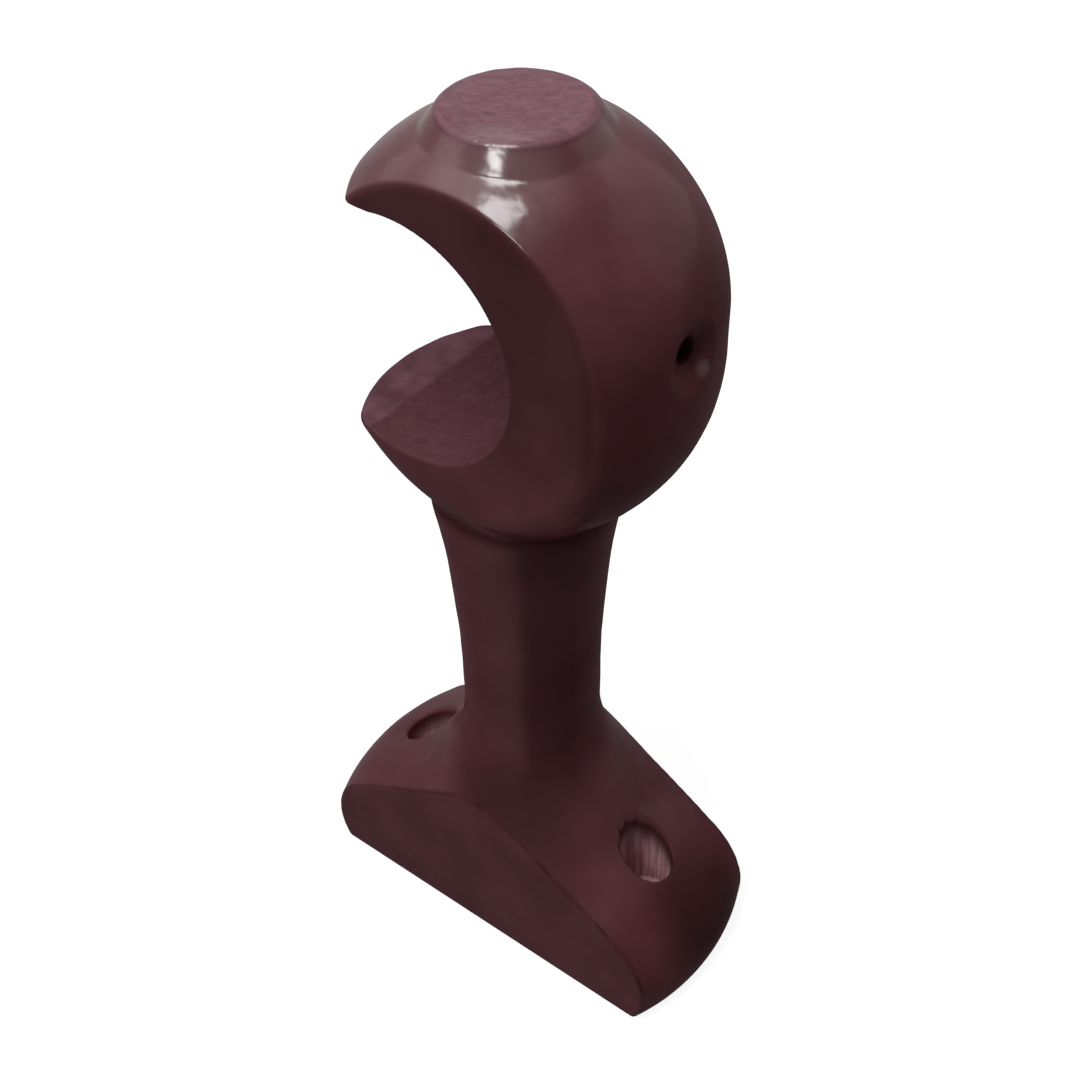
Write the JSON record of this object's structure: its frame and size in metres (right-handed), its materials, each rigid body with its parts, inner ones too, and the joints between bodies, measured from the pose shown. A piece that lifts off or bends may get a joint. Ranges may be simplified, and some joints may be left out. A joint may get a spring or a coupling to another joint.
{
  "type": "curtain pole bracket",
  "caption": "Turned wooden bracket that holds a curtain pole in an open cup, on a waisted neck with a screw-on base cut flat on both sides.",
  "frame": {"origin": "centre of the wall face, on the turning axis", "axes": "+Z out from the wall along the turning axis to the crown; the pole lies along Y; the cup's mouth faces -X, which is up when the bracket is on a wall"},
  "size_m": [0.06, 0.025, 0.1227],
  "materials": {
    "lacquered_wood": "gloss"
  },
  "bodies": {
    "root": {"bracket": "lacquered_wood"}
  },
  "joints": []
}
